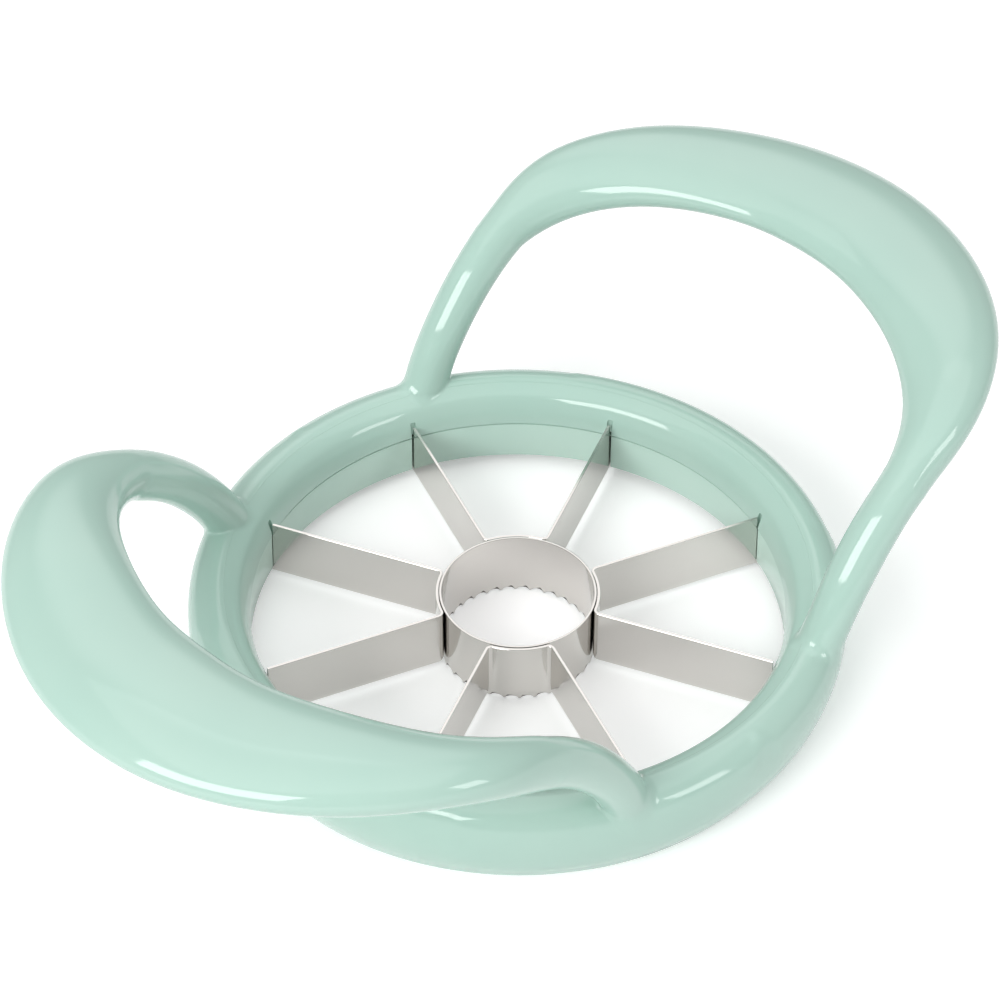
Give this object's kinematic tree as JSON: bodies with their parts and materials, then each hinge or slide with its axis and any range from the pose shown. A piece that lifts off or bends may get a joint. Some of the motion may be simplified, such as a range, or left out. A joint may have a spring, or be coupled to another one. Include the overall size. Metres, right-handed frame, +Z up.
{
  "type": "apple slicer",
  "caption": "Round push-down fruit slicer and corer: moulded ring with looped side handles, thin radial steel blades and a scalloped coring tube.",
  "frame": {"origin": "middle of the ring, on the plane that its foot stands on", "axes": "+X through the middle of one handle's grip, +Y across the handles, +Z up, away from the surface that the ring stands on"},
  "size_m": [0.1856, 0.1108, 0.0527],
  "materials": {
    "frame_plastic": "glossy mint green ABS, injection moulded",
    "insert_plastic": "mint green ABS, injection moulded, slightly less glossy",
    "core_steel": "satin stainless steel tube",
    "blade_steel": "satin stainless steel strip with a bright cut edge"
  },
  "bodies": {
    "root": {"frame": "frame_plastic", "retaining_ring": "insert_plastic", "core_ring": "core_steel", "blade_strip_back": "blade_steel", "blade_strip_left": "blade_steel", "blade_strip_front": "blade_steel", "blade_strip_right": "blade_steel"}
  },
  "joints": []
}
